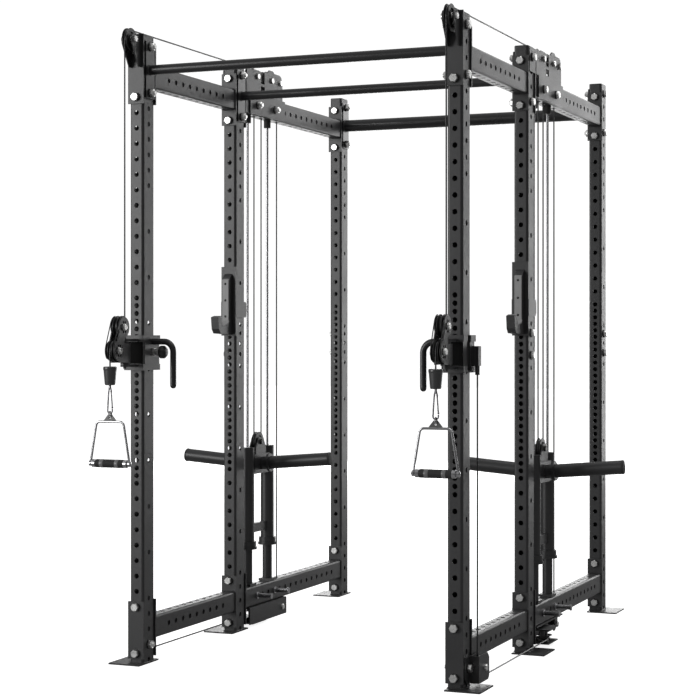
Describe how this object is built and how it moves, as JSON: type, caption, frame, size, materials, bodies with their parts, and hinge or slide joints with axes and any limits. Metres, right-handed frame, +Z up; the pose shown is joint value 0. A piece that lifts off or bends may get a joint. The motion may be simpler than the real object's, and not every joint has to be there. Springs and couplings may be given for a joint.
{
  "type": "power cage",
  "caption": "Six-post power cage with pull-up bars, J-cups and a plate-loaded cable trolley with a swivelling pulley block and handle on each side.",
  "frame": {"origin": "on the floor, at the middle of the cage's overall footprint", "axes": "+X to the right for a user facing the cage, +Y towards its rear, +Z up; the front handles are at -Y"},
  "size_m": [1.704, 1.9744, 2.088],
  "materials": {
    "powder_coat_black": "fine textured black powder coat",
    "bar_black": "smooth satin black paint",
    "zinc_fastener": "bright zinc plate",
    "rod_steel": "hard chrome, ground",
    "chrome_steel": "polished chrome",
    "nylon_black": "moulded black nylon",
    "rubber_black": "matt black rubber",
    "cable_black": "black nylon sheath over steel cable"
  },
  "bodies": {
    "frame": {"uprights_front": "powder_coat_black", "uprights_middle": "powder_coat_black", "uprights_rear": "powder_coat_black", "lower_side_beams": "powder_coat_black", "upper_side_beams": "powder_coat_black", "pull_up_bar_front": "bar_black", "pull_up_bar_middle": "bar_black", "pull_up_bar_rear": "bar_black", "foot_plates": "powder_coat_black", "backing_plates": "powder_coat_black", "frame_bolts": "zinc_fastener", "frame_nuts": "zinc_fastener", "top_pulley_brackets": "powder_coat_black", "high_pulley_plates": "powder_coat_black", "low_front_housings": "powder_coat_black", "low_rear_channels": "powder_coat_black", "low_rear_idlers": "nylon_black", "guide_rods": "rod_steel", "stop_tubes": "powder_coat_black", "rod_bumpers": "rubber_black", "band_pegs": "rod_steel", "fixed_cables": "cable_black"},
    "trolley_right": {"trolley_right": "powder_coat_black", "trolley_fall_cable_right": "cable_black", "front_fall_cable_right": "cable_black"},
    "pop_pin_right": {"pop_pin_right": "nylon_black"},
    "swivel_block_right": {"swivel_block_right": "powder_coat_black", "block_cable_right": "cable_black"},
    "block_pulley_upper_right": {"block_pulley_upper_right": "nylon_black"},
    "block_pulley_lower_right": {"block_pulley_lower_right": "nylon_black"},
    "handle_right": {"cable_end_right": "rubber_black", "handle_frame_right": "chrome_steel", "handle_cable_right": "cable_black"},
    "handle_grip_right": {"handle_grip_right": "rubber_black"},
    "carriage_right": {"carriage_right": "powder_coat_black", "carriage_cable_right": "cable_black"},
    "carriage_pulley_right": {"carriage_pulley_right": "nylon_black"},
    "j_cup_right": {"j_cup_right": "powder_coat_black"},
    "trolley_left": {"trolley_left": "powder_coat_black", "trolley_fall_cable_left": "cable_black", "front_fall_cable_left": "cable_black"},
    "pop_pin_left": {"pop_pin_left": "nylon_black"},
    "swivel_block_left": {"swivel_block_left": "powder_coat_black", "block_cable_left": "cable_black"},
    "block_pulley_upper_left": {"block_pulley_upper_left": "nylon_black"},
    "block_pulley_lower_left": {"block_pulley_lower_left": "nylon_black"},
    "handle_left": {"cable_end_left": "rubber_black", "handle_frame_left": "chrome_steel", "handle_cable_left": "cable_black"},
    "handle_grip_left": {"handle_grip_left": "rubber_black"},
    "carriage_left": {"carriage_left": "powder_coat_black", "carriage_cable_left": "cable_black"},
    "carriage_pulley_left": {"carriage_pulley_left": "nylon_black"},
    "j_cup_left": {"j_cup_left": "powder_coat_black"},
    "top_pulleys": {"top_pulleys": "nylon_black"},
    "high_front_pulleys": {"high_front_pulleys": "nylon_black"},
    "high_middle_pulleys": {"high_middle_pulleys": "nylon_black"},
    "high_rear_pulleys": {"high_rear_pulleys": "nylon_black"},
    "low_front_pulleys": {"low_front_pulleys": "nylon_black"},
    "low_rear_pulleys": {"low_rear_pulleys": "nylon_black"}
  },
  "joints": [
    {"name": "trolley_slide_right", "type": "slide", "parent": "frame", "child": "trolley_right", "axis": [0, 0, 1], "range_m": [-0.508, 0.6509], "deforming": ["front_fall_cable_right", "trolley_fall_cable_right"]},
    {"name": "pop_pin_pull_right", "type": "slide", "parent": "trolley_right", "child": "pop_pin_right", "axis": [-1, 0, 0], "range_m": [0, 0.008], "stiffness_N_per_m": 400, "springref_m": -0.01},
    {"name": "block_swivel_right", "type": "hinge", "parent": "trolley_right", "child": "swivel_block_right", "pos_m": [0.553, -0.8712, 1.028], "axis": [0, 0, 1], "range_deg": [-90, 90]},
    {"name": "block_upper_spin_right", "type": "hinge", "parent": "swivel_block_right", "child": "block_pulley_upper_right", "pos_m": [0.553, -0.9022, 1.11], "axis": [1, 0, 0], "range_deg": [-1100, 1100]},
    {"name": "block_lower_spin_right", "type": "hinge", "parent": "swivel_block_right", "child": "block_pulley_lower_right", "pos_m": [0.553, -0.9342, 1.034], "axis": [1, 0, 0], "range_deg": [-1100, 1100]},
    {"name": "handle_pull_right", "type": "slide", "parent": "swivel_block_right", "child": "handle_right", "axis": [0, 0, -1], "range_m": [0, 0.55], "deforming": ["handle_cable_right"]},
    {"name": "grip_spin_right", "type": "hinge", "parent": "handle_right", "child": "handle_grip_right", "pos_m": [0.553, -0.9652, 0.673], "axis": [1, 0, 0], "continuous": true},
    {"name": "carriage_lift_right", "type": "slide", "parent": "frame", "child": "carriage_right", "axis": [0, 0, 1], "range_m": [0, 0.275], "deforming": ["carriage_cable_right"]},
    {"name": "carriage_pulley_spin_right", "type": "hinge", "parent": "carriage_right", "child": "carriage_pulley_right", "pos_m": [0.553, 0.1288, 0.685], "axis": [1, 0, 0], "range_deg": [-600, 600]},
    {"name": "j_cup_off_right", "type": "slide", "parent": "frame", "child": "j_cup_right", "axis": [0, -1, 0], "range_m": [0, 0.1]},
    {"name": "trolley_slide_left", "type": "slide", "parent": "frame", "child": "trolley_left", "axis": [0, 0, 1], "range_m": [-0.508, 0.6509], "deforming": ["front_fall_cable_left", "trolley_fall_cable_left"]},
    {"name": "pop_pin_pull_left", "type": "slide", "parent": "trolley_left", "child": "pop_pin_left", "axis": [1, 0, 0], "range_m": [0, 0.008], "stiffness_N_per_m": 400, "springref_m": -0.01},
    {"name": "block_swivel_left", "type": "hinge", "parent": "trolley_left", "child": "swivel_block_left", "pos_m": [-0.553, -0.8712, 1.028], "axis": [0, 0, 1], "range_deg": [-90, 90]},
    {"name": "block_upper_spin_left", "type": "hinge", "parent": "swivel_block_left", "child": "block_pulley_upper_left", "pos_m": [-0.553, -0.9022, 1.11], "axis": [1, 0, 0], "range_deg": [-1100, 1100]},
    {"name": "block_lower_spin_left", "type": "hinge", "parent": "swivel_block_left", "child": "block_pulley_lower_left", "pos_m": [-0.553, -0.9342, 1.034], "axis": [1, 0, 0], "range_deg": [-1100, 1100]},
    {"name": "handle_pull_left", "type": "slide", "parent": "swivel_block_left", "child": "handle_left", "axis": [0, 0, -1], "range_m": [0, 0.55], "deforming": ["handle_cable_left"]},
    {"name": "grip_spin_left", "type": "hinge", "parent": "handle_left", "child": "handle_grip_left", "pos_m": [-0.553, -0.9652, 0.673], "axis": [1, 0, 0], "continuous": true},
    {"name": "carriage_lift_left", "type": "slide", "parent": "frame", "child": "carriage_left", "axis": [0, 0, 1], "range_m": [0, 0.275], "deforming": ["carriage_cable_left"]},
    {"name": "carriage_pulley_spin_left", "type": "hinge", "parent": "carriage_left", "child": "carriage_pulley_left", "pos_m": [-0.553, 0.1288, 0.685], "axis": [1, 0, 0], "range_deg": [-600, 600]},
    {"name": "j_cup_off_left", "type": "slide", "parent": "frame", "child": "j_cup_left", "axis": [0, -1, 0], "range_m": [0, 0.1]},
    {"name": "top_pulleys_spin", "type": "hinge", "parent": "frame", "child": "top_pulleys", "pos_m": [0, -0.8402, 2.05], "axis": [1, 0, 0], "range_deg": [-2000, 2000]},
    {"name": "high_front_pulleys_spin", "type": "hinge", "parent": "frame", "child": "high_front_pulleys", "pos_m": [0, 0.0668, 2.05], "axis": [1, 0, 0], "range_deg": [-2000, 2000]},
    {"name": "high_middle_pulleys_spin", "type": "hinge", "parent": "frame", "child": "high_middle_pulleys", "pos_m": [0, 0.1908, 2.05], "axis": [1, 0, 0], "range_deg": [-2000, 2000]},
    {"name": "high_rear_pulleys_spin", "type": "hinge", "parent": "frame", "child": "high_rear_pulleys", "pos_m": [0, 0.2678, 2.05], "axis": [1, 0, 0], "range_deg": [-2000, 2000]},
    {"name": "low_front_pulleys_spin", "type": "hinge", "parent": "frame", "child": "low_front_pulleys", "pos_m": [0, -0.6792, 0.055], "axis": [1, 0, 0], "range_deg": [-2000, 2000]},
    {"name": "low_rear_pulleys_spin", "type": "hinge", "parent": "frame", "child": "low_rear_pulleys", "pos_m": [0, 0.2788, 0.044], "axis": [1, 0, 0], "range_deg": [-2000, 2000]}
  ],
  "couplings": [
    {"joint": "handle_pull_right", "follows": "carriage_lift_right", "ratio": 2},
    {"joint": "block_upper_spin_right", "follows": "carriage_lift_right", "rad_per_m": -64.516},
    {"joint": "block_lower_spin_right", "follows": "carriage_lift_right", "rad_per_m": 64.516},
    {"joint": "carriage_pulley_spin_right", "follows": "carriage_lift_right", "rad_per_m": -32.258},
    {"joint": "handle_pull_left", "follows": "carriage_lift_left", "ratio": 2},
    {"joint": "block_upper_spin_left", "follows": "carriage_lift_left", "rad_per_m": -64.516},
    {"joint": "block_lower_spin_left", "follows": "carriage_lift_left", "rad_per_m": 64.516},
    {"joint": "carriage_pulley_spin_left", "follows": "carriage_lift_left", "rad_per_m": -32.258},
    {"joint": "top_pulleys_spin", "follows": "carriage_lift_right", "rad_per_m": 64.516},
    {"joint": "high_front_pulleys_spin", "follows": "carriage_lift_right", "rad_per_m": 64.516},
    {"joint": "high_middle_pulleys_spin", "follows": "trolley_slide_right", "rad_per_m": -32.258},
    {"joint": "high_rear_pulleys_spin", "follows": "trolley_slide_right", "rad_per_m": -32.258},
    {"joint": "low_front_pulleys_spin", "follows": "trolley_slide_right", "rad_per_m": -32.258},
    {"joint": "low_rear_pulleys_spin", "follows": "trolley_slide_right", "rad_per_m": -50}
  ]
}
